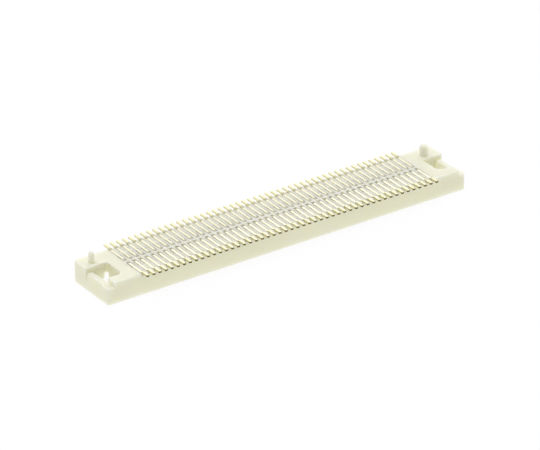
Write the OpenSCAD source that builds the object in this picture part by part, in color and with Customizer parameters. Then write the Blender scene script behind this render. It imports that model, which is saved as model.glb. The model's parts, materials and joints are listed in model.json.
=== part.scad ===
// Board-to-board socket, two rows of surface-mount contacts at a fine pitch.
// The part lies on its mating rim with the solder side up.
// X runs along the rows, Y across them and Z up. The origin is under the middle of the part.
// Sizes are in millimetres.

/* [Contact rows] */
// Contacts in each of the two rows
positions = 50; // [4:1:55]
// Distance between neighbouring contacts in a row
pitch = 0.6; // [0.5:0.01:1]

/* [Contact strip] */
// Width of the stamped strip, along X
contact_w = 0.22; // [0.15:0.01:0.32]
// Thickness of the stamped strip
contact_t = 0.16; // [0.1:0.01:0.2]
// Distance from the middle of the part to the back of the contact's leg
leg_back = 0.14; // [0.12:0.01:0.4]
// How far a solder tail reaches past the side of the housing
tail_reach = 0.68; // [0.2:0.01:1]
// Distance from the side of the housing to where a tail lifts off its groove
lift_in = 0.38; // [0.35:0.01:0.8]
// Inside radius of the two bends that lift the tail
lift_r = 0.2; // [0.1:0.01:0.3]
// Height of the foot above the tail
foot_lift = 0.13; // [0.08:0.01:0.25]
// Inside radius of the bend between the tail and the leg
tail_bend_r = 0.24; // [0.05:0.01:0.3]
// Inside radius of the turn at the bottom of the leg
turn_r = 0.08; // [0.05:0.01:0.15]
// Inside radius of the bump that touches the mating contact
bump_r = 0.08; // [0.05:0.01:0.15]
// Lean of the spring arm, in degrees from upright
arm_lean = 12; // [6:1:18]
// Lean of the tip behind the bump, in degrees from upright
tip_lean = 30; // [15:1:40]
// Length of the straight tip behind the bump
tip_len = 0.04; // [0.02:0.01:0.1]
// Gap between the tip of the spring and the roof above it
tip_gap = 0.06; // [0.03:0.01:0.15]

/* [Housing] */
// Width of the housing, across the rows
body_w = 5.2; // [4.2:0.05:7]
// Height of the housing without its pegs
body_h = 1.97; // [1.55:0.01:3]
// Distance from the last contact to the end of the housing
end_margin = 3.5; // [2.8:0.05:5]
// Thickness of the roof that carries the tails
roof_t = 0.8; // [0.6:0.05:1]
// Thickness of the long side walls
side_wall = 0.5; // [0.3:0.02:0.7]
// Thickness of the end walls
end_wall = 0.65; // [0.35:0.05:0.8]
// Radius of the upright outer corners
corner_r = 0.2; // [0.05:0.01:0.4]
// Width of the lead-in bevel around the inner edge of the mating rim
rim_bevel = 0.14; // [0.05:0.01:0.25]
// Depth of the groove in the roof in which a tail lies
groove_d = 0.16; // [0.08:0.01:0.2]
// Gap around a contact in its groove, slot and pocket
pocket_gap = 0.025; // [0.01:0.005:0.04]
// Half width of the rib between the two rows of wells
rib_half = 0.1; // [0.05:0.01:0.3]
// Distance from the middle of the part to the outer end of a well, in which a contact turns down
well_out = 1.2; // [0.9:0.05:1.5]
// Depth of a well below the start of the contact's straight leg
well_d = 0.16; // [0.02:0.02:0.2]
// Gap beside a contact in its well
well_gap = 0.07; // [0.04:0.01:0.08]
// How far the comb stops short of the mating plane
comb_setback = 0.15; // [0.1:0.01:0.3]
// Plastic outside the turn of the contact, on the face of the comb
comb_skin = 0.04; // [0.02:0.01:0.1]

/* [End blocks] */
// Distance from the last contact to the end of the comb
comb_margin = 0.65; // [0.5:0.05:0.9]
// Distance from the last contact to the start of the shallow end recess
cavity_margin = 1.0; // [0.9:0.05:1.3]
// Depth of the recess under an end block
end_recess = 0.45; // [0.2:0.05:0.8]
// Height of the passage at the far inner corner of an end window, which leads to the mating cavity
passage_h = 1.05; // [0.5:0.05:1.1]
// Length of an end window, from the end of the housing
window_len = 2.1; // [1.4:0.05:2.3]
// Width of the near arm beside the window
near_arm = 1.0; // [0.7:0.05:1.4]
// Width of the far arm beside the window, which carries the peg
far_arm = 1.8; // [1.5:0.02:2.2]
// Radius of the window's inner near corner
window_near_r = 0.55; // [0.2:0.05:0.7]
// Radius of the window's inner far corner
window_far_r = 0.25; // [0.1:0.05:0.5]
// How far the end wall lies below the roof
end_drop = 0.46; // [0.2:0.02:0.8]
// Depth of the sloping relief at the top of the end face
relief_d = 0.17; // [0.05:0.01:0.3]
// Height of the sloping relief on the end face
relief_h = 0.7; // [0.3:0.05:0.9]

/* [Pegs] */
// Height of the locating pegs above the roof
peg_h = 1; // [0.5:0.05:1.5]
// Diameter of the left peg
left_peg_d = 0.52; // [0.4:0.01:0.9]
// Diameter of the right peg
right_peg_d = 0.75; // [0.4:0.01:0.9]
// Distance from the left end to the middle of the left peg
left_peg_x = 1.0; // [0.6:0.05:1.6]
// Distance from the right end to the middle of the right peg
right_peg_x = 1.45; // [0.6:0.05:1.6]
// Distance from the far side to the middle of both pegs
peg_y = 1.13; // [0.6:0.01:1.3]
// Width of the bevel around the top of a peg
peg_bevel = 0.15; // [0.04:0.01:0.18]
// Height of the bevel around the top of a peg
peg_bevel_h = 0.24; // [0.08:0.01:0.3]

/* [Hidden] */
$fn = 48;
// Overshoot of a cutting shape past the face that it opens
past = 0.2;
// Share of a bend that is drawn from each of its two ends, so that the two pieces overlap
bend_share = 2 / 3;

// Rows
row_len = (positions - 1) * pitch;
body_l = row_len + 2 * end_margin;
half_l = body_l / 2;
half_w = body_w / 2;
function contact_x(i) = i * pitch - row_len / 2;

// Levels, from the mating plane up
roof_under = body_h - roof_t;
tail_z = body_h - groove_d;
tail_bend_z = tail_z - tail_bend_r;
well_z = tail_bend_z - well_d;
comb_z = comb_setback;
end_wall_top = body_h - end_drop;

// Contact profile, measured outwards from the middle of the part
leg_front = leg_back + contact_t;
tail_bend_u = leg_front + tail_bend_r;
tail_tip = half_w + tail_reach;
lift_u = half_w - lift_in;
lift_turn = acos(1 - foot_lift / (2 * lift_r + contact_t));
foot_u = lift_u + (2 * lift_r + contact_t) * sin(lift_turn);
turn_u = leg_front + turn_r;
turn_z = comb_z + comb_skin + turn_r + contact_t;
tip_turn = arm_lean + tip_lean;
// Rise of the contact from the turn's middle to its tip, apart from the straight arm
bump_rise = (bump_r - turn_r) * sin(arm_lean) + (bump_r + contact_t) * sin(tip_lean) + tip_len * cos(tip_lean);
arm_len = (roof_under - tip_gap - bump_rise - turn_z) / cos(arm_lean);

// Comb, pockets and grooves
pocket_w = contact_w + 2 * pocket_gap;
well_w = contact_w + 2 * well_gap;
comb_half = turn_u + turn_r + contact_t + comb_skin;
comb_half_l = row_len / 2 + comb_margin;
cavity_half_l = row_len / 2 + cavity_margin;
inner_half_w = half_w - side_wall;
inner_half_l = half_l - end_wall;

// End windows
window_near_y = near_arm - half_w;
window_far_y = half_w - far_arm;
passage_half_l = half_l - window_len + window_far_r;
passage_y = window_far_y - window_far_r;

PLASTIC = "#f0eed6";
GOLD = "#d9bf6a";

function two_digits(i) = str(i < 10 ? "0" : "", i);

// A piece of ring from one angle to the next, less than a half turn
module ring_sector(inner, width, from, to) {
    reach = 2 * (inner + width);
    middle = (from + to) / 2;
    intersection() {
        difference() {
            circle(r = inner + width);
            circle(r = inner);
        }
        polygon([
            [0, 0],
            reach * [cos(from), sin(from)],
            reach * [cos(middle), sin(middle)],
            reach * [cos(to), sin(to)]
        ]);
    }
}

// Side view of one contact: x is the distance from the middle of the part, y is the height
module contact_profile() {
    // Tail, flat in its groove
    translate([tail_bend_u, tail_z]) square([lift_u - tail_bend_u, contact_t]);
    translate([tail_bend_u, tail_bend_z]) ring_sector(tail_bend_r, contact_t, 90, 180);
    // Two bends that lift it over the edge of the roof, and the foot that is soldered
    translate([lift_u, tail_z + contact_t + lift_r]) {
        ring_sector(lift_r, contact_t, 270, 270 + lift_turn * bend_share);
        rotate(lift_turn) {
            ring_sector(lift_r, contact_t, 270 - lift_turn * bend_share, 270);
            translate([0, -2 * lift_r - contact_t]) {
                ring_sector(lift_r, contact_t, 90 - lift_turn * bend_share, 90);
                rotate(-lift_turn) {
                    ring_sector(lift_r, contact_t, 90, 90 + lift_turn * bend_share);
                    translate([0, lift_r]) square([tail_tip - foot_u, contact_t]);
                }
            }
        }
    }
    // Leg through the roof
    translate([leg_back, turn_z]) square([contact_t, tail_bend_z - turn_z]);
    // Turn at the bottom, up to the upright side of the leg
    translate([turn_u, turn_z]) {
        ring_sector(turn_r, contact_t, 180, 270 + arm_lean);
        // Spring arm, drawn upright and leant outwards about the middle of the turn
        rotate(-arm_lean) {
            ring_sector(turn_r, contact_t, 270, 360);
            translate([turn_r, 0]) square([contact_t, arm_len]);
            // Bump that touches the mating contact, and the tip behind it
            translate([turn_r - bump_r, arm_len]) {
                ring_sector(bump_r, contact_t, 0, tip_turn * bend_share);
                rotate(tip_turn) {
                    ring_sector(bump_r, contact_t, -tip_turn * bend_share, 0);
                    translate([bump_r, 0]) square([contact_t, tip_len]);
                }
            }
        }
    }
}

// Side view of the room that fits closely around one contact
module pocket_profile() {
    // Groove for the tail, out through the side of the housing
    translate([well_out - past, tail_z]) square([half_w + 2 * past - well_out, groove_d + past]);
    // Slot for the leg, from the well to the pocket
    translate([leg_back - pocket_gap, roof_under - past])
        square([contact_t + 2 * pocket_gap, well_z - roof_under + 2 * past]);
    // Pocket in the comb, open at its face and its end
    translate([leg_back - pocket_gap, comb_z - past])
        square([comb_half + past - leg_back + pocket_gap, roof_under - comb_z + past]);
}

// Side view of the well, seen from above as a dark hole around the bend
module well_profile() {
    translate([rib_half, well_z]) square([well_out - rib_half, body_h - well_z + past]);
}

// Stands a side view upright with a width along X, facing the far side or the near side
module along_x(width, side) {
    mirror([0, side < 0 ? 1 : 0, 0])
        rotate([90, 0, 90])
            linear_extrude(height = width, center = true)
                children();
}

module rounded_outline(length, width, r) {
    square([length - 2 * r, width], center = true);
    square([length, width - 2 * r], center = true);
    for (x = [-1, 1], y = [-1, 1])
        translate([x * (length / 2 - r), y * (width / 2 - r)]) circle(r = r);
}

// Outline of an end window, with its two inner corners rounded
module window_outline() {
    inner_x = half_l - window_len;
    length = inner_half_l - inner_x;
    width = window_far_y - window_near_y;
    r_near = min(window_near_r, width / 2, length);
    r_far = min(window_far_r, width / 2, length);
    translate([inner_x, window_near_y]) {
        translate([max(r_near, r_far), 0]) square([length - max(r_near, r_far), width]);
        translate([0, r_near]) square([max(r_near, r_far), width - r_near - r_far]);
        translate([r_near, r_near]) circle(r = r_near);
        translate([r_far, width - r_far]) circle(r = r_far);
        translate([r_far, width - 2 * r_far]) square([max(r_near, r_far), 2 * r_far]);
    }
}

// What is cut from the right end; the left end is its mirror image
module end_cuts() {
    // Recess under the end block
    translate([cavity_half_l - past, -inner_half_w, -past])
        cube([inner_half_l - cavity_half_l + past, 2 * inner_half_w, end_recess + past]);
    // Passage from the window's far corner to the mating cavity
    translate([cavity_half_l - past, passage_y, -past])
        cube([passage_half_l - cavity_half_l + past, inner_half_w - passage_y, passage_h + past]);
    // Window through the end block
    linear_extrude(height = body_h + past) window_outline();
    // Lowered end wall, from the near side to the far arm
    translate([inner_half_l, -half_w - past, end_wall_top])
        cube([end_wall + past, window_far_y + half_w + past, end_drop + past]);
    // Sloping relief on the end face
    translate([0, window_far_y, 0])
        rotate([90, 0, 0])
            linear_extrude(height = window_far_y - window_near_y)
                polygon([
                    [half_l, end_wall_top - relief_h],
                    [half_l - relief_d, end_wall_top],
                    [half_l - relief_d, body_h],
                    [half_l + past, body_h],
                    [half_l + past, end_wall_top - relief_h]
                ]);
    // Lead-in bevel at the end of the rim
    translate([0, inner_half_w, 0])
        rotate([90, 0, 0])
            linear_extrude(height = 2 * inner_half_w)
                polygon([
                    [inner_half_l - rim_bevel, -rim_bevel],
                    [inner_half_l + rim_bevel, 0],
                    [inner_half_l, rim_bevel],
                    [inner_half_l - rim_bevel, rim_bevel]
                ]);
}

// Locating peg with a bevelled top, standing on the roof
module peg(d) {
    straight = peg_h - peg_bevel_h;
    cylinder(d = d, h = straight);
    translate([0, 0, straight]) cylinder(d1 = d, d2 = d - 2 * peg_bevel, h = peg_bevel_h);
}

// Block with its mating cavity, comb and end blocks, before the pockets are cut
module housing_blank() {
    difference() {
        linear_extrude(height = body_h) rounded_outline(body_l, body_w, corner_r);
        // Mating grooves on both sides of the comb, and across its ends
        difference() {
            translate([-cavity_half_l, -inner_half_w, -past])
                cube([2 * cavity_half_l, 2 * inner_half_w, roof_under + past]);
            translate([-comb_half_l, -comb_half, comb_z])
                cube([2 * comb_half_l, 2 * comb_half, roof_under]);
        }
        // Lead-in bevel along the rim
        for (side = [-1, 1])
            along_x(2 * inner_half_l, side)
                polygon([
                    [inner_half_w - rim_bevel, -rim_bevel],
                    [inner_half_w + rim_bevel, 0],
                    [inner_half_w, rim_bevel],
                    [inner_half_w - rim_bevel, rim_bevel]
                ]);
        end_cuts();
        mirror([1, 0, 0]) end_cuts();
    }
    translate([left_peg_x - half_l, half_w - peg_y, body_h]) peg(left_peg_d);
    translate([half_l - right_peg_x, half_w - peg_y, body_h]) peg(right_peg_d);
}

module housing() {
    color(PLASTIC)
        difference() {
            housing_blank();
            for (i = [0 : positions - 1], side = [-1, 1])
                translate([contact_x(i), 0, 0]) {
                    along_x(pocket_w, side) pocket_profile();
                    along_x(well_w, side) well_profile();
                }
        }
}

// The two contacts that stand opposite each other at one position
module contact_pair(i) {
    color(GOLD)
        for (side = [-1, 1])
            translate([contact_x(i), 0, 0]) along_x(contact_w, side) contact_profile();
}

housing();
for (i = [0 : positions - 1])
    contact_pair(i);
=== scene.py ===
# %% [markdown]
# # A board-to-board socket
# A long ivory moulding carries two rows of stamped contacts. The part lies on its mating rim with the
# solder side up, so that the rows of tails show and the springs are hidden below.
# The CAD model holds every size and place. It is loaded first, and each Blender piece is built on it,
# in the same frame. Lengths in this script are in millimetres, and MM turns them into the metres of the
# frame.

# %% Load the CAD frame
import json
import math

import bmesh
import bpy
from mathutils import Matrix, Vector


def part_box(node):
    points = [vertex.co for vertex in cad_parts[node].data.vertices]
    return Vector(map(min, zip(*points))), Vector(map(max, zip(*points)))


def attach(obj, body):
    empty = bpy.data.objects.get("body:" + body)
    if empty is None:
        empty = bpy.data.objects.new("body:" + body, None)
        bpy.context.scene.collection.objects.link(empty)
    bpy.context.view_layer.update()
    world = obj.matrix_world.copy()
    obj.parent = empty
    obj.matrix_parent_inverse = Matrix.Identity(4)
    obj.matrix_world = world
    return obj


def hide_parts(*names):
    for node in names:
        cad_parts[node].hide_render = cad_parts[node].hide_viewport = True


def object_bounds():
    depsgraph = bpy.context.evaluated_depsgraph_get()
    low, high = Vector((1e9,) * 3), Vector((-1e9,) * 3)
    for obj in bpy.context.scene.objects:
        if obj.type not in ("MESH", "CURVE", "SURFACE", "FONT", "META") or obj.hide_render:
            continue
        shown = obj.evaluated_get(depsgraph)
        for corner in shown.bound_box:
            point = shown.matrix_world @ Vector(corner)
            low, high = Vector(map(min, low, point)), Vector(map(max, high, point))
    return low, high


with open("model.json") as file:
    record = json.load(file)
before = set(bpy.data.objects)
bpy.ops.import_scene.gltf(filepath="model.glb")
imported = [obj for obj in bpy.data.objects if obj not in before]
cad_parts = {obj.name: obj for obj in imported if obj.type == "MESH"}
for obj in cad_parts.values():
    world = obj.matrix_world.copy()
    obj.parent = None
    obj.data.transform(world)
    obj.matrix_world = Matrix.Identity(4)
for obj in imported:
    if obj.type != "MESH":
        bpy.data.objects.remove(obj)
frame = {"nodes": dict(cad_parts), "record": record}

MM = 0.001
cad_low, cad_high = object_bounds()


def box_in_mm(node):
    """The lowest and the highest corner of a CAD node, in millimetres."""
    return [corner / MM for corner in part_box(node)]


contact_nodes = sorted(name for name in frame["nodes"] if name.startswith("contact_pair_"))
contact_x = {}
for node in contact_nodes:
    low, high = box_in_mm(node)
    contact_x[node] = (low.x + high.x) / 2
print("CAD box in mm:", [round(size / MM, 2) for size in cad_high - cad_low])
print("contact pairs:", len(contact_x))

# %% [markdown]
# ## Camera
# The photograph looks down on the part from its front left. Its long edges stay almost parallel, so the
# camera stood far away and had a long lens. A camera could be placed by eye, but the rows and the corners
# in the picture fix it better: the angles, the lens and the aim point below put the rows within half a
# pixel and the outline within about one.

# %% Camera
PICTURE_WIDTH = 540
FOCAL_LENGTH_PIXELS = 4721
SENSOR_WIDTH = 36
CLIP_START = 10
CAMERA_AZIMUTH = math.radians(-34.67)
CAMERA_ELEVATION = math.radians(27.98)
CAMERA_DISTANCE = 397.2
AIM_POINT = (0.01, 0.47, 0.67)

towards_camera = Vector((
    math.sin(CAMERA_AZIMUTH) * math.cos(CAMERA_ELEVATION),
    -math.cos(CAMERA_AZIMUTH) * math.cos(CAMERA_ELEVATION),
    math.sin(CAMERA_ELEVATION),
))
camera = bpy.data.objects.new("camera", bpy.data.cameras.new("camera"))
camera.data.sensor_width = SENSOR_WIDTH
camera.data.lens = FOCAL_LENGTH_PIXELS * SENSOR_WIDTH / PICTURE_WIDTH
camera.data.clip_start = CLIP_START * MM
camera.location = Vector(AIM_POINT) * MM + towards_camera * (CAMERA_DISTANCE * MM)
camera.rotation_euler = towards_camera.to_track_quat("Z", "Y").to_euler()
bpy.context.scene.collection.objects.link(camera)
bpy.context.scene.camera = camera
bpy.context.scene.view_settings.view_transform = "Standard"
print("camera at", [round(value / MM, 1) for value in camera.location], "mm")
print("lens", round(camera.data.lens, 1), "mm")

# %% [markdown]
# ## Colours and nodes
# Colours are easiest to read as the hex values of a paint program, but a shader wants linear light, so
# one function turns the first into the second. Another empties the node tree of a new material, and a
# third adds a node with its settings and its links, which keeps each material below short enough to read
# as a recipe.

# %% Colours and nodes
WHITE = (1, 1, 1, 1)


def linear(hex_colour):
    """An sRGB hex colour as the linear RGBA that a socket holds."""
    channels = [int(hex_colour[i:i + 2], 16) / 255 for i in (1, 3, 5)]
    return [c / 12.92 if c <= 0.04045 else ((c + 0.055) / 1.055) ** 2.4 for c in channels] + [1.0]


def empty_tree(owner):
    """The node tree of a new material or world, with nothing in it yet."""
    owner.use_nodes = True
    owner.node_tree.nodes.clear()
    return owner.node_tree


def add_node(tree, kind, inputs=None, **settings):
    """Add a node: settings are its own properties, inputs are values or the sockets that feed it."""
    node = tree.nodes.new(kind)
    for name, value in settings.items():
        setattr(node, name, value)
    for name, value in (inputs or {}).items():
        if isinstance(value, bpy.types.NodeSocket):
            tree.links.new(value, node.inputs[name])
        else:
            node.inputs[name].default_value = value
    return node


print("the mid grey #808080 in linear light:", round(linear("#808080")[0], 3))

# %% [markdown]
# ## Floor and light
# The picture is a product shot on a light table: a white sheet that glows from below, so that almost no
# shadow is left. The world gives that glow, and it reaches the part through the floor, because the floor
# is hidden from diffuse rays. What the camera and the metal see of the floor is white, with the faint
# shadow that the part still leaves on it. From below the sheet is clear, so that the underside can be
# looked at too.

# %% Floor
FLOOR_GAP = 0.01
FLOOR_HALF_SIZE = 600
TABLE_GLOW = 0.88
SHEET_GREY = 0.13

floor_paint = bpy.data.materials.new("white_shooting_table")
tree = empty_tree(floor_paint)
rays = add_node(tree, "ShaderNodeLightPath")
seen = add_node(tree, "ShaderNodeMath", {0: rays.outputs["Is Camera Ray"], 1: rays.outputs["Is Glossy Ray"]},
                operation="MAXIMUM")
seen = add_node(tree, "ShaderNodeMath", {0: seen.outputs[0], 1: rays.outputs["Is Transmission Ray"]},
                operation="MAXIMUM")
glow = add_node(tree, "ShaderNodeMath", {0: seen.outputs[0], 1: TABLE_GLOW}, operation="MULTIPLY")
paper = add_node(tree, "ShaderNodeBsdfDiffuse", {"Color": (SHEET_GREY, SHEET_GREY, SHEET_GREY, 1)})
light_below = add_node(tree, "ShaderNodeEmission", {"Color": WHITE, "Strength": glow.outputs[0]})
sheet = add_node(tree, "ShaderNodeAddShader", {0: paper.outputs[0], 1: light_below.outputs[0]})
side = add_node(tree, "ShaderNodeNewGeometry")
clear = add_node(tree, "ShaderNodeBsdfTransparent")
one_way = add_node(tree, "ShaderNodeMixShader",
                   {0: side.outputs["Backfacing"], 1: sheet.outputs[0], 2: clear.outputs[0]})
add_node(tree, "ShaderNodeOutputMaterial", {"Surface": one_way.outputs[0]})

bm = bmesh.new()
bmesh.ops.create_grid(bm, x_segments=1, y_segments=1, size=FLOOR_HALF_SIZE * MM)
bmesh.ops.translate(bm, verts=bm.verts, vec=(0, 0, cad_low.z - FLOOR_GAP * MM))
floor_mesh = bpy.data.meshes.new("floor")
bm.to_mesh(floor_mesh)
bm.free()
floor_mesh.materials.append(floor_paint)
floor = bpy.data.objects.new("floor", floor_mesh)
floor.visible_diffuse = False
floor.visible_shadow = False
bpy.context.scene.collection.objects.link(floor)
print("floor at z", round(floor_mesh.vertices[0].co.z / MM, 3), "mm")

# %% [markdown]
# The walls of the tent are brighter behind the part than on the camera's side, so that its top gleams and
# its front and its left end stay a tone darker. A lamp for each wall could do this, but a slope of
# brightness across the world is softer and simpler. It also darkens the tent's ceiling, which the bends of
# the strip mirror. Below the horizon the world has the level of the light table. The camera itself sees a
# plain white backdrop.

# %% World
TENT_LEVEL = 0.91
TENT_SLOPE = (0.49, 0.45, -0.60)
TENT_DARKEST = 0.32
TABLE_LEVEL = 1.06
HORIZON_BLUR = 0.1
BACKDROP_LEVEL = 1.0

world = bpy.data.worlds.new("light_tent")
bpy.context.scene.world = world
tree = empty_tree(world)
rays = add_node(tree, "ShaderNodeLightPath")
direction = add_node(tree, "ShaderNodeTexCoord")
axes = add_node(tree, "ShaderNodeSeparateXYZ", {0: direction.outputs["Object"]})
slope = add_node(tree, "ShaderNodeVectorMath", {0: direction.outputs["Object"], 1: TENT_SLOPE},
                 operation="DOT_PRODUCT")
walls = add_node(tree, "ShaderNodeMath", {0: slope.outputs["Value"], 1: TENT_LEVEL}, operation="ADD")
walls = add_node(tree, "ShaderNodeMath", {0: walls.outputs[0], 1: TENT_DARKEST}, operation="MAXIMUM")
tent = add_node(tree, "ShaderNodeMapRange", {
    "Value": axes.outputs["Z"],
    "From Min": -HORIZON_BLUR,
    "From Max": HORIZON_BLUR,
    "To Min": TABLE_LEVEL,
    "To Max": walls.outputs[0],
})
level = add_node(tree, "ShaderNodeMapRange", {
    "Value": rays.outputs["Is Camera Ray"],
    "To Min": tent.outputs[0],
    "To Max": BACKDROP_LEVEL,
})
glow = add_node(tree, "ShaderNodeBackground", {"Color": WHITE, "Strength": level.outputs[0]})
add_node(tree, "ShaderNodeOutputWorld", {"Surface": glow.outputs[0]})
print("tent", TENT_LEVEL, "with slope", TENT_SLOPE, "table", TABLE_LEVEL)

# %% [markdown]
# One softbox above adds the rest of the light on the top. It hangs a little to the left, where no bend
# mirrors it into the camera, and its light is slightly cool, so that the top looks whiter than the sides.

# %% Softbox
SOFTBOX_TOWARDS = (-0.22, 0.0, 0.975)
SOFTBOX_DISTANCE = 450
SOFTBOX_SIZE = 300
SOFTBOX_POWER = 0.90
SOFTBOX_COLOUR = (0.99, 0.99, 1.13)

softbox = bpy.data.objects.new("overhead_softbox", bpy.data.lights.new("overhead_softbox", "AREA"))
softbox.data.shape = "DISK"
softbox.data.size = SOFTBOX_SIZE * MM
softbox.data.energy = SOFTBOX_POWER
softbox.data.color = SOFTBOX_COLOUR
softbox.location = Vector(SOFTBOX_TOWARDS) * SOFTBOX_DISTANCE * MM
softbox.rotation_euler = softbox.location.to_track_quat("Z", "Y").to_euler()
bpy.context.scene.collection.objects.link(softbox)
print("softbox at", [round(value / MM) for value in softbox.location], "mm")

# %% [markdown]
# ## Ivory resin
# The housing is moulded in a natural liquid crystal polymer. It is pale ivory, a little translucent, and
# satin from the spark-eroded mould. Light enters it and comes out again close by, so subsurface
# scattering of a fraction of a millimetre softens its edges. A slow noise gives the faint flow clouds of
# the moulding, a fine one the grit of the mould. The grit is drawn coarser than the real one, so that a
# close view shows it.

# %% Ivory resin
IVORY_DEEP = "#eeedd3"
IVORY_PALE = "#f1f0d8"
FLOW_CLOUD = 2.4
CLOUD_DETAIL = 3.0
MOULD_GRIT = 0.05
GRIT_DETAIL = 2.0
GRIT_DEPTH = 0.0012
GRIT_STRENGTH = 0.6
RESIN_ROUGHNESS = (0.42, 0.58)
RESIN_IOR = 1.6
SCATTER = 0.47
SCATTER_SHARE = 1.0
SCATTER_RGB = (1.0, 1.0, 1.2)

resin = bpy.data.materials.new("natural_ivory_polymer_moulded")
tree = empty_tree(resin)
place = add_node(tree, "ShaderNodeTexCoord")
clouds = add_node(tree, "ShaderNodeTexNoise", {
    "Vector": place.outputs["Object"],
    "Scale": 1 / (FLOW_CLOUD * MM),
    "Detail": CLOUD_DETAIL,
})
tint = add_node(tree, "ShaderNodeMix",
                {"Factor": clouds.outputs["Fac"], "A": linear(IVORY_DEEP), "B": linear(IVORY_PALE)},
                data_type="RGBA")
grit = add_node(tree, "ShaderNodeTexNoise", {
    "Vector": place.outputs["Object"],
    "Scale": 1 / (MOULD_GRIT * MM),
    "Detail": GRIT_DETAIL,
})
sheen = add_node(tree, "ShaderNodeMapRange",
                 {"Value": grit.outputs["Fac"], "To Min": RESIN_ROUGHNESS[0], "To Max": RESIN_ROUGHNESS[1]})
relief = add_node(tree, "ShaderNodeBump",
                  {"Height": grit.outputs["Fac"], "Distance": GRIT_DEPTH * MM, "Strength": GRIT_STRENGTH})
surface = add_node(tree, "ShaderNodeBsdfPrincipled", {
    "Base Color": tint.outputs[2],
    "Roughness": sheen.outputs[0],
    "Normal": relief.outputs[0],
    "IOR": RESIN_IOR,
    "Subsurface Weight": SCATTER_SHARE,
    "Subsurface Radius": SCATTER_RGB,
    "Subsurface Scale": SCATTER * MM,
})
add_node(tree, "ShaderNodeOutputMaterial", {"Surface": surface.outputs[0]})
print("material", resin.name)

# %% [markdown]
# ## Plated strip
# The contacts are stamped from copper alloy strip and then plated, sides and all. The foot is gold, and the
# run behind it is painted a paler, whiter gold: a painted highlight for the gleam of its flat top. The edge
# between the two wanders a little. Rolling leaves fine lines along the strip, which show as a slight change
# of roughness. They too are drawn coarser than the real ones.

# %% Plated strip
# The paler colour of the run is a painted highlight; the foot's gold is its own colour.
PAINTED_HIGHLIGHT_GOLD = "#f5f1d6"
GOLD = "#f1edca"
PAINTED_HIGHLIGHT_TO = 2.25  # from the middle of the part
HIGHLIGHT_EDGE_WIDTH = 0.12
HIGHLIGHT_EDGE_WANDER = 0.5
ROLLING_LINE = 0.03
LINE_STRETCH = 25  # times as long as wide
LINE_DETAIL = 1.0
STRIP_ROUGHNESS = (0.18, 0.3)

plating = bpy.data.materials.new("gold_plated_rolled_strip")
tree = empty_tree(plating)
place = add_node(tree, "ShaderNodeTexCoord")
axes = add_node(tree, "ShaderNodeSeparateXYZ", {0: place.outputs["Object"]})
across = add_node(tree, "ShaderNodeMath", {0: axes.outputs["Y"]}, operation="ABSOLUTE")
highlight_wander = add_node(tree, "ShaderNodeTexNoise",
                  {"Vector": place.outputs["Object"], "Scale": 1 / (HIGHLIGHT_EDGE_WANDER * MM)})
edge = add_node(tree, "ShaderNodeMath",
                {0: highlight_wander.outputs["Fac"], 1: HIGHLIGHT_EDGE_WIDTH * MM, 2: across.outputs[0]},
                operation="MULTIPLY_ADD")
# Inside this wandering edge the run takes the painted highlight colour.
foot_past_highlight = add_node(tree, "ShaderNodeMapRange", {
    "Value": edge.outputs[0],
    "From Min": PAINTED_HIGHLIGHT_TO * MM,
    "From Max": (PAINTED_HIGHLIGHT_TO + HIGHLIGHT_EDGE_WIDTH) * MM,
})
colour = add_node(tree, "ShaderNodeMix",
                  {"Factor": foot_past_highlight.outputs[0], "A": linear(PAINTED_HIGHLIGHT_GOLD), "B": linear(GOLD)},
                  data_type="RGBA")
stretch = add_node(tree, "ShaderNodeMapping",
                   {"Vector": place.outputs["Object"], "Scale": (1, 1 / LINE_STRETCH, 1 / LINE_STRETCH)})
lines = add_node(tree, "ShaderNodeTexNoise", {
    "Vector": stretch.outputs[0],
    "Scale": 1 / (ROLLING_LINE * MM),
    "Detail": LINE_DETAIL,
})
shine = add_node(tree, "ShaderNodeMapRange",
                 {"Value": lines.outputs["Fac"], "To Min": STRIP_ROUGHNESS[0], "To Max": STRIP_ROUGHNESS[1]})
surface = add_node(tree, "ShaderNodeBsdfPrincipled", {
    "Base Color": colour.outputs[2],
    "Metallic": 1.0,
    "Roughness": shine.outputs[0],
})
add_node(tree, "ShaderNodeOutputMaterial", {"Surface": surface.outputs[0]})
print("material", plating.name)

# %% [markdown]
# The sides of the strip were cut before plating, and the coat on their rougher ground is less glossy than
# the rolled faces. They are also painted a tone darker, which is painted shade.

# %% Plated sides
# The darker colour of the sides is painted shade; their higher roughness is real.
SIDE_GOLD_PAINTED_SHADE = "#e0d9ab"
SIDE_ROUGHNESS = 0.42

plated_side = bpy.data.materials.new("gold_plated_cut_side_painted_shade")
tree = empty_tree(plated_side)
surface = add_node(tree, "ShaderNodeBsdfPrincipled", {
    "Base Color": linear(SIDE_GOLD_PAINTED_SHADE),
    "Metallic": 1.0,
    "Roughness": SIDE_ROUGHNESS,
})
add_node(tree, "ShaderNodeOutputMaterial", {"Surface": surface.outputs[0]})
print("material", plated_side.name)

# %% [markdown]
# ## Sheared ends
# The plated contacts hang on a carrier strip and are cut from it last. So the tips of the feet are bare
# alloy, duller than the plated faces and blotchy where the metal tore. Their colour is painted far darker
# and browner than bare alloy, as painted shade and a painted dark reflection. It is not quite a full
# metal, because a thin oxide lies on it.

# %% Sheared ends
# Both bronze tones are painted shade as well as bare metal: far darker than the bare alloy is.
SHADED_BRONZE_DARK = "#5b522a"
SHADED_BRONZE_PALE = "#887d43"
TEAR_SIZE = 0.04
TEAR_DETAIL = 2.0
SHEARED_METALLIC = 0.85
SHEARED_ROUGHNESS = (0.4, 0.65)

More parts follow.
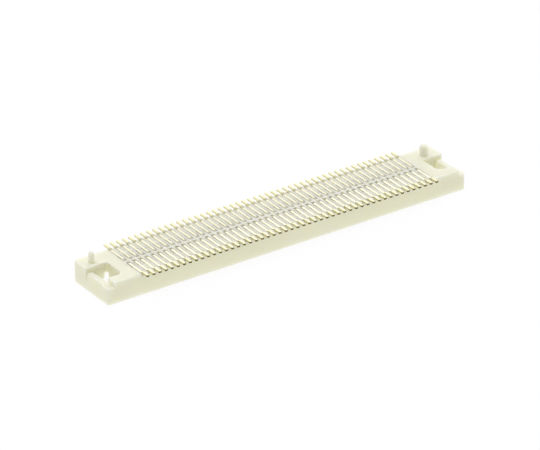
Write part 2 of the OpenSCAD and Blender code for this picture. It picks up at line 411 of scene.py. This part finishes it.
sheared = bpy.data.materials.new("bare_bronze_sheared_painted_shade")
tree = empty_tree(sheared)
place = add_node(tree, "ShaderNodeTexCoord")
tears = add_node(tree, "ShaderNodeTexNoise", {
    "Vector": place.outputs["Object"],
    "Scale": 1 / (TEAR_SIZE * MM),
    "Detail": TEAR_DETAIL,
})
colour = add_node(tree, "ShaderNodeMix",
                  {"Factor": tears.outputs["Fac"], "A": linear(SHADED_BRONZE_DARK), "B": linear(SHADED_BRONZE_PALE)},
                  data_type="RGBA")
dull = add_node(tree, "ShaderNodeMapRange", {
    "Value": tears.outputs["Fac"],
    "To Min": SHEARED_ROUGHNESS[0],
    "To Max": SHEARED_ROUGHNESS[1],
})
surface = add_node(tree, "ShaderNodeBsdfPrincipled", {
    "Base Color": colour.outputs[2],
    "Metallic": SHEARED_METALLIC,
    "Roughness": dull.outputs[0],
})
add_node(tree, "ShaderNodeOutputMaterial", {"Surface": surface.outputs[0]})
print("material", sheared.name)

# %% [markdown]
# ## Tools for the moulding
# The housing is a block with hollows, as the mould that makes it is a box with cores. So it starts as a
# box, and each core is a closed shape that is cut from it with an exact Boolean. The meshes are built in
# millimetres, because the Boolean works best on numbers near one, and are scaled to metres at the end.
# A core that opens a face reaches PAST it, and places closer than NEAR count as the same.

# %% Tools for the moulding
PAST = 0.2
NEAR = 0.01


def add_box(bm, low, high):
    """Add a closed box between two corners."""
    low, high = Vector(low), Vector(high)
    verts = bmesh.ops.create_cube(bm, size=1)["verts"]
    bmesh.ops.scale(bm, vec=high - low, verts=verts)
    bmesh.ops.translate(bm, vec=(low + high) / 2, verts=verts)


def new_box(low, high):
    """A new bmesh that holds one box."""
    bm = bmesh.new()
    add_box(bm, low, high)
    return bm


def add_prism(bm, outline, direction):
    """Add a closed prism: an outline of 3-D points that is extruded along a direction."""
    face = bm.faces.new([bm.verts.new(point) for point in outline])
    grown = bmesh.ops.extrude_face_region(bm, geom=[face], use_keep_orig=True)["geom"]
    verts = [item for item in grown if isinstance(item, bmesh.types.BMVert)]
    bmesh.ops.translate(bm, vec=direction, verts=verts)


def round_edges(bm, edges, size, steps, clamp=False):
    """Round these edges in so many steps. A single step gives a flat bevel."""
    bmesh.ops.bevel(bm, geom=edges, offset=size, segments=steps, profile=0.5, affect="EDGES", material=-1,
                    clamp_overlap=clamp)


def carve(block, tool, operation="DIFFERENCE"):
    """Cut a closed bmesh with another one, or join them, and give back the new bmesh."""
    objects = []
    for name, shape in (("block", block), ("tool", tool)):
        bmesh.ops.recalc_face_normals(shape, faces=shape.faces)
        mesh = bpy.data.meshes.new(name)
        shape.to_mesh(mesh)
        shape.free()
        objects.append(bpy.data.objects.new(name, mesh))
        bpy.context.scene.collection.objects.link(objects[-1])
    cut = objects[0].modifiers.new("cut", "BOOLEAN")
    cut.operation = operation
    cut.solver = "EXACT"
    cut.use_self = True
    cut.object = objects[1]
    result = bmesh.new()
    result.from_object(objects[0], bpy.context.evaluated_depsgraph_get())
    for item in objects:
        bpy.data.meshes.remove(item.data)
    return result


print("tools: add_box, new_box, add_prism, round_edges, carve")

# %% [markdown]
# ## Housing: block and mating grooves
# The block has the outside size of the CAD housing. Sizes that the frame doesn't give are repeated here
# from the CAD model. The upright corners are rounded. From below, two deep grooves take the blades of the
# mating half. They leave a comb between them that carries the springs, so the tool for the grooves is a
# box with the comb cut out of it. The comb is as wide as the two springs that lie back to back in it, with
# a thin skin over their lower bends.

# %% Housing: block and mating grooves
ROOF = 1.97
ROOF_THICKNESS = 0.8
SIDE_WALL = 0.5
END_WALL = 0.65
CORNER_R = 0.2
CORNER_STEPS = 5
STRIP_T = 0.16
LEG_BACK = 0.14  # from the middle of the part to the leg of a contact
TURN_R = 0.08
COMB_SKIN = 0.04
COMB_SETBACK = 0.15  # from the rim up to the comb
COMB_MARGIN = 0.65  # of the comb past the last contact
CAVITY_MARGIN = 1.0  # of the grooves past the last contact

housing_high = box_in_mm("housing")[1]
half_l = housing_high.x
half_w = housing_high.y
row_half = -contact_x[contact_nodes[0]]

housing = new_box((-half_l, -half_w, 0), (half_l, half_w, ROOF))
uprights = [edge for edge in housing.edges if abs(edge.verts[0].co.z - edge.verts[1].co.z) > ROOF / 2]
round_edges(housing, uprights, CORNER_R, CORNER_STEPS)

roof_under = ROOF - ROOF_THICKNESS
inner_half_w = half_w - SIDE_WALL
inner_half_l = half_l - END_WALL
leg_front = LEG_BACK + STRIP_T
comb_half_w = leg_front + 2 * TURN_R + STRIP_T + COMB_SKIN
comb_half_l = row_half + COMB_MARGIN
cavity_half_l = row_half + CAVITY_MARGIN
grooves = new_box((-cavity_half_l, -inner_half_w, -PAST), (cavity_half_l, inner_half_w, roof_under))
comb = new_box((-comb_half_l, -comb_half_w, COMB_SETBACK), (comb_half_l, comb_half_w, ROOF))
housing = carve(housing, carve(grooves, comb))
print("block in mm:", round(2 * half_l, 2), "x", round(2 * half_w, 2), "x", ROOF)
print("block with its grooves:", len(housing.faces), "faces")

# %% [markdown]
# ## Housing: windows
# Each end has a window through it, between a narrow arm on the near side and a wide one on the far side.
# Its core is a box with its two inner corners rounded, the near one much wider than the far one. It is
# built for the right end here. The left end gets the mirror image of each core.

# %% Housing: windows
WINDOW_LENGTH = 2.1  # from the end face of the housing
NEAR_ARM = 1.0
FAR_ARM = 1.8
WINDOW_NEAR_R = 0.55
WINDOW_FAR_R = 0.25
WINDOW_STEPS = 8

window_x = half_l - WINDOW_LENGTH
window_near = NEAR_ARM - half_w
window_far = half_w - FAR_ARM


def window_core():
    """The core that leaves the window, with its two inner corners rounded."""
    core = new_box((window_x, window_near, -PAST), (inner_half_l, window_far, ROOF + PAST))
    for y, radius in ((window_near, WINDOW_NEAR_R), (window_far, WINDOW_FAR_R)):
        corner = [edge for edge in core.edges
                  if all(abs(v.co.x - window_x) < NEAR and abs(v.co.y - y) < NEAR for v in edge.verts)]
        round_edges(core, corner, radius, WINDOW_STEPS)
    return core


print("window", round(inner_half_l - window_x, 2), "x", round(window_far - window_near, 2), "mm")

# %% [markdown]
# ## Housing: end blocks
# The wall that closes the window lies lower than the roof and slopes back at the top. The block is
# hollowed from below, and a passage joins the far corner of the window to the mating grooves, so that a
# spot of light shows through there. Each of these has a core of its own. A cut uses its core up, so the
# cores are built again for the other end and mirrored.

# %% Housing: end blocks
END_RECESS = 0.45
PASSAGE_HEIGHT = 1.05
END_DROP = 0.46  # from the roof down to the top of the end wall
RELIEF_DEPTH = 0.17
RELIEF_HEIGHT = 0.7

wall_top = ROOF - END_DROP


def recess_core():
    """The hollow under the end block."""
    return new_box((cavity_half_l - PAST, -inner_half_w, -PAST), (inner_half_l, inner_half_w, END_RECESS))


def passage_core():
    """The passage from the mating grooves to the far rounded corner of the window."""
    low = (cavity_half_l - PAST, window_far - WINDOW_FAR_R, -PAST)
    high = (window_x + WINDOW_FAR_R, inner_half_w, PASSAGE_HEIGHT)
    return new_box(low, high)


def wall_core():
    """What is taken from the top of the end wall, from the near side to the far arm."""
    return new_box((inner_half_l, -half_w - PAST, wall_top), (half_l + PAST, window_far, ROOF + PAST))


def relief_core():
    """The slope at the top of the end face."""
    outline = (
        (half_l, window_near, wall_top - RELIEF_HEIGHT),
        (half_l - RELIEF_DEPTH, window_near, wall_top),
        (half_l - RELIEF_DEPTH, window_near, ROOF),
        (half_l + PAST, window_near, ROOF),
        (half_l + PAST, window_near, wall_top - RELIEF_HEIGHT),
    )
    core = bmesh.new()
    add_prism(core, outline, (0, window_far - window_near, 0))
    return core


for end in (-1, 1):
    for make_core in (window_core, recess_core, passage_core, wall_core, relief_core):
        core = make_core()
        bmesh.ops.scale(core, vec=(end, 1, 1), verts=core.verts)
        housing = carve(housing, core)
print("end blocks cut,", len(housing.faces), "faces")

# %% [markdown]
# ## Housing: pegs
# Two pegs place the part on its board. They differ in size and place, so that it fits only one way round.
# The record lists them as mounts, so their radius and their axis come from there. Each is a cylinder with
# its top edge rounded over, joined to the roof.

# %% Housing: pegs
PEG_SIDES = 32
PEG_ROUND = 0.2
PEG_ROUND_STEPS = 4
PEG_ROOT = 0.1  # below the roof, so that the peg joins it

peg_top = housing_high.z
peg_height = peg_top - ROOF + PEG_ROOT
for mount in frame["record"]["mounts"]:
    if mount["kind"] != "pin":
        continue
    x, y = (value / MM for value in mount["pos_m"][:2])
    radius = mount["dims"]["r_mm"]
    peg = bmesh.new()
    bmesh.ops.create_cone(peg, cap_ends=True, segments=PEG_SIDES, radius1=radius, radius2=radius,
                          depth=peg_height)
    bmesh.ops.translate(peg, vec=(x, y, peg_top - peg_height / 2), verts=peg.verts)
    top_edge = [edge for edge in peg.edges if all(v.co.z > peg_top - NEAR for v in edge.verts)]
    round_edges(peg, top_edge, PEG_ROUND, PEG_ROUND_STEPS)
    housing = carve(housing, peg, "UNION")
    print(mount["name"], "at", round(x, 2), round(y, 2), "mm, radius", radius, "mm")

# %% [markdown]
# ## Housing: edges
# The Booleans leave doubled points and faces in pieces, so these are merged first. The inner edge of the
# mating rim has a lead-in bevel, which guides the other half. Apart from that, a mould can't leave a
# perfectly sharp edge. Each sharp edge gets a small round, which catches a line of light and lets the
# shape read even in soft light. The pockets come later: their edges are finer than this.

# %% Housing: edges
MERGE_DISTANCE = 0.0005
FLAT_ANGLE = 1  # in degrees
RIM_BEVEL = 0.14
EDGE_ROUND = 0.045
EDGE_STEPS = 2
EDGE_ANGLE = 30  # in degrees

bmesh.ops.remove_doubles(housing, verts=housing.verts, dist=MERGE_DISTANCE)
bmesh.ops.dissolve_limit(housing, angle_limit=math.radians(FLAT_ANGLE), verts=housing.verts,
                         edges=housing.edges)


def on_inner_rim(vert):
    """Whether a vertex lies on the inner edge of the mating rim."""
    at_side = abs(abs(vert.co.y) - inner_half_w) < NEAR
    at_end = abs(abs(vert.co.x) - inner_half_l) < NEAR
    return abs(vert.co.z) < NEAR and (at_side or at_end)


def sharp_edges(bm, angle):
    """The edges where two faces meet at more than this angle, in degrees."""
    return [edge for edge in bm.edges if edge.is_manifold and edge.calc_face_angle() > math.radians(angle)]


lead_in = [edge for edge in housing.edges if all(on_inner_rim(v) for v in edge.verts)]
round_edges(housing, lead_in, RIM_BEVEL, steps=1)
print(len(lead_in), "edges of the rim get the lead-in bevel")
rounded = sharp_edges(housing, EDGE_ANGLE)
round_edges(housing, rounded, EDGE_ROUND, EDGE_STEPS, clamp=True)
print(len(rounded), "edges rounded,", len(housing.faces), "faces")

# %% [markdown]
# ## Housing: grooves, wells and pockets
# Each contact has a groove in the roof, in which its tail lies flush, and a wider well where the tail
# turns down, so that the two rows of wells leave a narrow rib along the middle. Below the well follow a
# slot through the roof and a pocket in the comb. The groove and the well are boxes, the slot with its
# pocket is one outline that is made a prism. The hundred wells are one mesh and one cut, and the grooves
# and pockets are another.

# %% Housing: grooves, wells and pockets
GROOVE_DEPTH = 0.16
TAIL_BEND_R = 0.24
POCKET_GAP = 0.025  # around the strip in its groove, slot and pocket
RIB_HALF = 0.1
WELL_OUT = 1.2  # from the middle of the part to the outer end of a well
WELL_DEPTH = 0.16  # below the centre of the bend
WELL_GAP = 0.07  # on each side of the strip

first_low, first_high = box_in_mm(contact_nodes[0])
strip_w = first_high.x - first_low.x
well_half = strip_w / 2 + WELL_GAP
pocket_half = strip_w / 2 + POCKET_GAP
tail_z = ROOF - GROOVE_DEPTH
tail_bend_z = tail_z - TAIL_BEND_R
well_z = tail_bend_z - WELL_DEPTH
pocket_outline = (
    (LEG_BACK - POCKET_GAP, well_z + PAST),
    (leg_front + POCKET_GAP, well_z + PAST),
    (leg_front + POCKET_GAP, roof_under),
    (comb_half_w + PAST, roof_under),
    (comb_half_w + PAST, COMB_SETBACK - PAST),
    (LEG_BACK - POCKET_GAP, COMB_SETBACK - PAST),
)

wells = bmesh.new()
pockets = bmesh.new()
for x in contact_x.values():
    for side in (-1, 1):
        y_low, y_high = sorted((side * RIB_HALF, side * WELL_OUT))
        add_box(wells, (x - well_half, y_low, well_z), (x + well_half, y_high, ROOF + PAST))
        y_low, y_high = sorted((side * (WELL_OUT - PAST), side * (half_w + PAST)))
        add_box(pockets, (x - pocket_half, y_low, tail_z), (x + pocket_half, y_high, ROOF + PAST))
        outline = [(x - pocket_half, side * y, z) for y, z in pocket_outline]
        add_prism(pockets, outline, (2 * pocket_half, 0, 0))
for tool in (wells, pockets):
    housing = carve(housing, tool)
print("grooves, wells and pockets cut,", len(housing.faces), "faces")

# %% [markdown]
# ## Housing: finish
# The mesh goes to metres and becomes one object at the origin. Smooth shading with weighted normals keeps
# the large faces flat and lets only the small rounds turn the light.

# %% Housing: finish
HOUSING_CREASE = 50  # in degrees


def make_piece(name, bm, materials, nodes):
    """Scale a bmesh to metres and make it a piece of the part that stands for these CAD nodes."""
    bmesh.ops.scale(bm, vec=(MM, MM, MM), verts=bm.verts)
    mesh = bpy.data.meshes.new(name)
    bm.to_mesh(mesh)
    bm.free()
    for material in materials:
        mesh.materials.append(material)
    piece = bpy.data.objects.new(name, mesh)
    bpy.context.scene.collection.objects.link(piece)
    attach(piece, "root")
    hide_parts(*nodes)
    return piece


for face in housing.faces:
    face.smooth = True
moulding = make_piece("ivory_housing", housing, [resin], ["housing"])
moulding.data.set_sharp_from_angle(angle=math.radians(HOUSING_CREASE))
weighted = moulding.modifiers.new("flat_faces", "WEIGHTED_NORMAL")
weighted.keep_sharp = True
print(moulding.name, len(moulding.data.polygons), "faces")

# %% [markdown]
# ## Contacts
# A contact is a strip that was cut from sheet and bent. Its foot lies a little higher than its tail, which
# runs inwards in the groove and turns down through the roof. At the bottom of the comb the strip turns
# round and comes up as a spring arm with a bump. The places of the bends could be typed in, but here they
# follow from the sizes of the housing and the bends, so that the strip fits its groove and its pocket.

# %% Places of the bends
LIFT_IN = 0.38  # from the side of the housing to the start of the lift
LIFT_R = 0.2
FOOT_LIFT = 0.13
TIP_GAP = 0.06  # from the tip of the spring to the roof
TIP_LENGTH = 0.04
ARM_LEAN = math.radians(12)
TIP_LEAN = math.radians(30)

tail_tip = first_high.y
foot_z = tail_z + FOOT_LIFT
lift_y = half_w - LIFT_IN
lift_sweep = 2 * LIFT_R + STRIP_T
lift_turn = math.acos(1 - FOOT_LIFT / lift_sweep)
foot_y = lift_y + lift_sweep * math.sin(lift_turn)
tail_bend_y = leg_front + TAIL_BEND_R
turn_y = leg_front + TURN_R
turn_z = COMB_SETBACK + COMB_SKIN + TURN_R + STRIP_T
tip_rise = (TURN_R + STRIP_T) * math.sin(TIP_LEAN) + TIP_LENGTH * math.cos(TIP_LEAN)
arm_length = (roof_under - TIP_GAP - tip_rise - turn_z) / math.cos(ARM_LEAN)
arm = Vector((0, math.sin(ARM_LEAN), math.cos(ARM_LEAN))) * arm_length
tip = Vector((0, -math.sin(TIP_LEAN), math.cos(TIP_LEAN))) * TIP_LENGTH
print("lift turns by", round(math.degrees(lift_turn), 1), "degrees, spring arm", round(arm_length, 3), "mm")

# %% [markdown]
# The strip is made as the real one is: a line as wide as the strip is extruded along the straight runs and
# spun around the bends, and then the sheet gets its thickness. The line runs along the lower side of the
# tail, which is the inside of most bends. The bump of the spring has the radius of the turn below it, so
# its centre is that of the turn, moved along the arm.

# %% One bent strip
BEND_STEPS = 3
TURN_STEPS = 6
SHADED_TIP_LENGTH = 0.12  # length of the foot's end that takes the sheared finish and its painted shade


def run(bm, edge, step):
    """Extrude the strip's last edge by a step and give back the new edge."""
    grown = bmesh.ops.extrude_edge_only(bm, edges=[edge])["geom"]
    verts = [item for item in grown if isinstance(item, bmesh.types.BMVert)]
    bmesh.ops.translate(bm, vec=step, verts=verts)
    edges = [item for item in grown if isinstance(item, bmesh.types.BMEdge)]
    return next(item for item in edges if set(item.verts) == set(verts))


def bend(bm, edge, centre, angle, steps):
    """Spin the strip's last edge about a line along X and give back the new edge."""
    spun = bmesh.ops.spin(bm, geom=[*edge.verts, edge], cent=centre, axis=(1, 0, 0), angle=angle,
                          steps=steps)
    return next(item for item in spun["geom_last"] if isinstance(item, bmesh.types.BMEdge))


strip = bmesh.new()
ends = [strip.verts.new((x, tail_tip, foot_z)) for x in (-strip_w / 2, strip_w / 2)]
edge = strip.edges.new(ends)
edge = run(strip, edge, (0, -SHADED_TIP_LENGTH, 0))
edge = run(strip, edge, (0, foot_y - tail_tip + SHADED_TIP_LENGTH, 0))
edge = bend(strip, edge, (0, foot_y, foot_z - LIFT_R), lift_turn, BEND_STEPS)
edge = bend(strip, edge, (0, lift_y, tail_z + STRIP_T + LIFT_R), -lift_turn, BEND_STEPS)
edge = run(strip, edge, (0, tail_bend_y - lift_y, 0))
edge = bend(strip, edge, (0, tail_bend_y, tail_bend_z), math.pi / 2, TURN_STEPS)
edge = run(strip, edge, (0, 0, turn_z - tail_bend_z))
edge = bend(strip, edge, (0, turn_y, turn_z), math.pi - ARM_LEAN, TURN_STEPS)
edge = run(strip, edge, arm)
edge = bend(strip, edge, Vector((0, turn_y, turn_z)) + arm, ARM_LEAN + TIP_LEAN, BEND_STEPS)
edge = run(strip, edge, tip)
print("strip surface:", len(strip.faces), "faces, ends at y", round(edge.verts[0].co.y, 3))

# %% [markdown]
# The sheet gets its thickness on the upper side of the tail, which is the outer side of most bends. Then
# its faces are told apart by where they lie: the rolled faces and the sides are plated, the sides with
# their painted shade, and the tip of the foot, where the strip was cut from its carrier, takes the dark
# sheared finish with its painted shade on its end and on a short length of the side.

# %% Thickness and finish of the strip
PLATED_SIDE_SLOT = 1
SHEARED_SLOT = 2
FACING = 0.5

bmesh.ops.recalc_face_normals(strip, faces=strip.faces)
tail_faces = [face for face in strip.faces if face.calc_center_median().y > lift_y]
if tail_faces[0].normal.z < 0:
    bmesh.ops.reverse_faces(strip, faces=strip.faces)
bmesh.ops.solidify(strip, geom=strip.faces[:], thickness=-STRIP_T)
bmesh.ops.recalc_face_normals(strip, faces=strip.faces)
for face in strip.faces:
    face.normal_update()
    # The tip's end and the short stretch of side next to it take the dark finish, which is painted shade.
    on_tip = face.calc_center_median().y > tail_tip - SHADED_TIP_LENGTH
    if on_tip and (face.normal.x > FACING or face.normal.y > FACING):
        face.material_index = SHEARED_SLOT
    elif abs(face.normal.x) > FACING:
        face.material_index = PLATED_SIDE_SLOT
    face.smooth = True
heights = [v.co.z for v in strip.verts]
print("strip:", len(strip.faces), "faces")
print("strip reaches from z", round(min(heights), 3), "to", round(max(heights), 3), "mm")

# %% [markdown]
# ## Rows of contacts
# Every position holds two contacts that stand back to back, so a copy of the strip is turned round by half
# a turn. The pair is then copied to each position that the CAD model gives.

# %% Rows of contacts
STRIP_CREASE = 40  # in degrees

strip_mesh = bpy.data.meshes.new("strip")
strip.to_mesh(strip_mesh)
strip.free()
for node, x in contact_x.items():
    pair = bmesh.new()
    pair.from_mesh(strip_mesh)
    copied = bmesh.ops.duplicate(pair, geom=pair.verts[:] + pair.edges[:] + pair.faces[:])["geom"]
    turned = [item for item in copied if isinstance(item, bmesh.types.BMVert)]
    bmesh.ops.rotate(pair, cent=(0, 0, 0), matrix=Matrix.Rotation(math.pi, 3, "Z"), verts=turned)
    bmesh.ops.translate(pair, vec=(x, 0, 0), verts=pair.verts)
    made = make_piece("plated_" + node, pair, [plating, plated_side, sheared], [node])
    made.data.set_sharp_from_angle(angle=math.radians(STRIP_CREASE))
bpy.data.meshes.remove(strip_mesh)
print(len(contact_x), "pairs of contacts,", len(made.data.polygons), "faces each")
